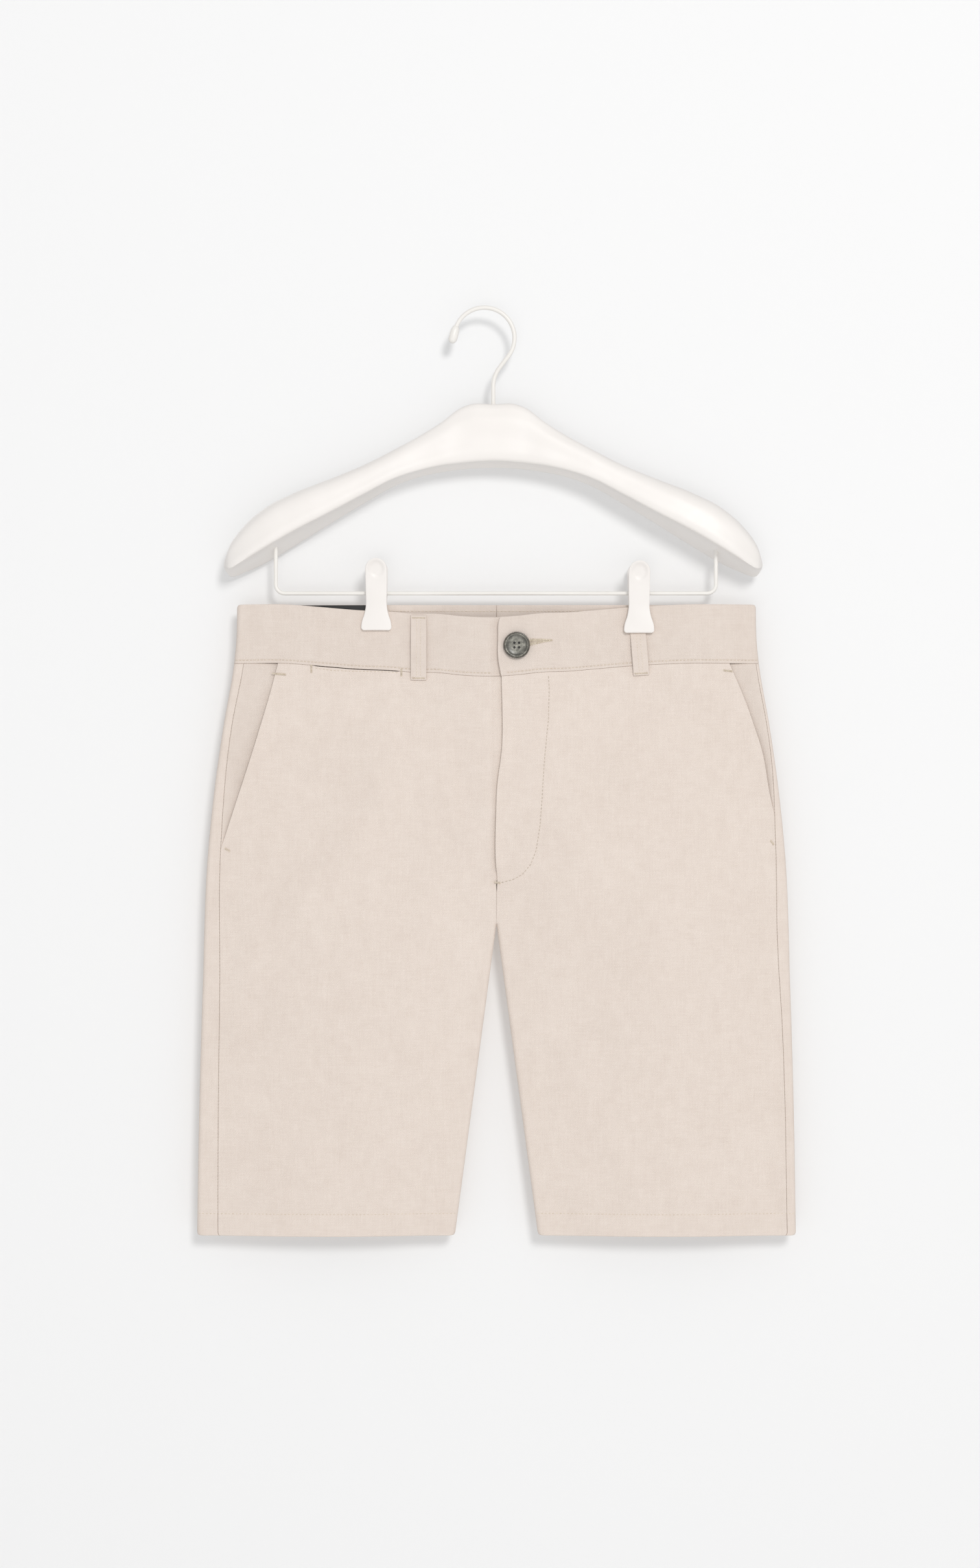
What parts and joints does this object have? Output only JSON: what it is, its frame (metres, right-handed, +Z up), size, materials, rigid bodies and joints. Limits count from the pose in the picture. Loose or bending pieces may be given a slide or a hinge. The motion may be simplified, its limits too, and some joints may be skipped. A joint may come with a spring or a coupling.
{
  "type": "bermuda shorts hung on a clip hanger",
  "caption": "Flat-hung bermuda shorts with slant pockets, a button waistband and belt loops, held by the waist on a clip hanger with a wire hook.",
  "frame": {"origin": "inside of the hook's crown, where a peg or rail carries the hanger", "axes": "+Z up, the shorts' front faces -Y, +X towards the wearer's left, which is the viewer's right"},
  "size_m": [0.4804, 0.035, 0.746],
  "materials": {
    "cloth": "cotton and linen twill, pressed, matt",
    "label": "plain black woven tape, blank",
    "button": "dark marbled resin with a polished rim",
    "plastic": "warm white moulded plastic, satin",
    "wire": "warm white coated steel wire"
  },
  "bodies": {
    "root": {"front_panel_right": "cloth", "front_panel_left": "cloth", "back_panel_right": "cloth", "back_panel_left": "cloth", "pocket_facing_right": "cloth", "pocket_facing_left": "cloth", "waistband_right": "cloth", "waistband_left": "cloth", "belt_loop_front_right": "cloth", "belt_loop_front_left": "cloth", "belt_loop_back_right": "cloth", "belt_loop_back_left": "cloth", "belt_loop_back_middle": "cloth", "inner_label": "label", "button": "button", "hanger_body": "plastic", "hook": "wire", "hook_tip": "wire", "bar": "wire", "bar_upright_right": "wire", "bar_upright_left": "wire", "clip_right_front": "plastic", "clip_right_back": "plastic", "clip_right_hinge": "plastic", "clip_left_front": "plastic", "clip_left_back": "plastic", "clip_left_hinge": "plastic"}
  },
  "joints": []
}
